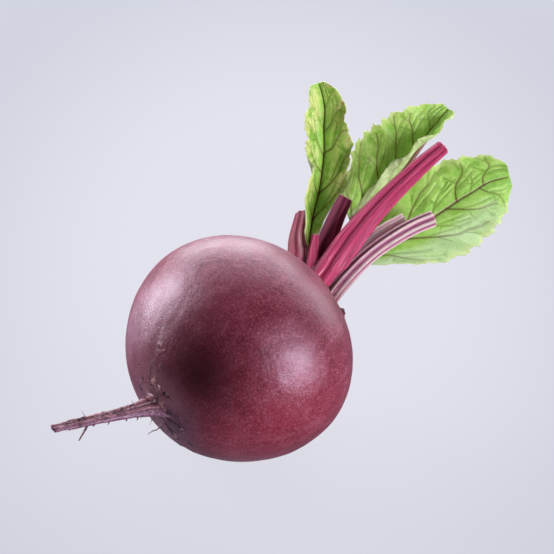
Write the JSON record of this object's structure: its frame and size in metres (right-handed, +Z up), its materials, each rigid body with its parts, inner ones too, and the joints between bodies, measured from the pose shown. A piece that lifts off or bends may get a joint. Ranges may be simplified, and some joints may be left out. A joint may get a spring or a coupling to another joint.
{
  "type": "beetroot",
  "caption": "Whole round beetroot lying on its side, with a tapering taproot, a tuft of cut leaf stalks and young waved leaves at its crown.",
  "frame": {"origin": "middle of the small flat spot under the bulb that it rests on", "axes": "+Z up, +X the way the crown and its leaves point, the taproot points to -X"},
  "size_m": [0.1817, 0.0781, 0.1067],
  "materials": {
    "skin": "dusty dark purple-red skin with a soft waxy sheen, duller and browner round the taproot",
    "stalk": "pink-red ribbed leaf stalk with fine pale streaks, satin",
    "pale_stalk": "cream and purple striped leaf stalk, satin",
    "dark_stalk": "dark purple leaf stalk, satin",
    "leaf_stalk": "brownish purple stalk and midrib, satin",
    "leaf": "fresh green leaf with dark red veins, paler below, satin"
  },
  "bodies": {
    "root": {"beet_root": "skin", "stalk_1": "stalk", "stalk_2": "dark_stalk", "stalk_3": "stalk", "stalk_4": "pale_stalk", "stalk_5": "pale_stalk", "heart_shoot": "stalk", "stub_1": "dark_stalk", "stub_2": "dark_stalk", "stub_3": "dark_stalk", "leaf_1_stalk": "leaf_stalk", "leaf_2_stalk": "leaf_stalk", "leaf_3_stalk": "leaf_stalk", "leaf_1_blade": "leaf", "leaf_2_blade": "leaf", "leaf_3_blade": "leaf"}
  },
  "joints": []
}
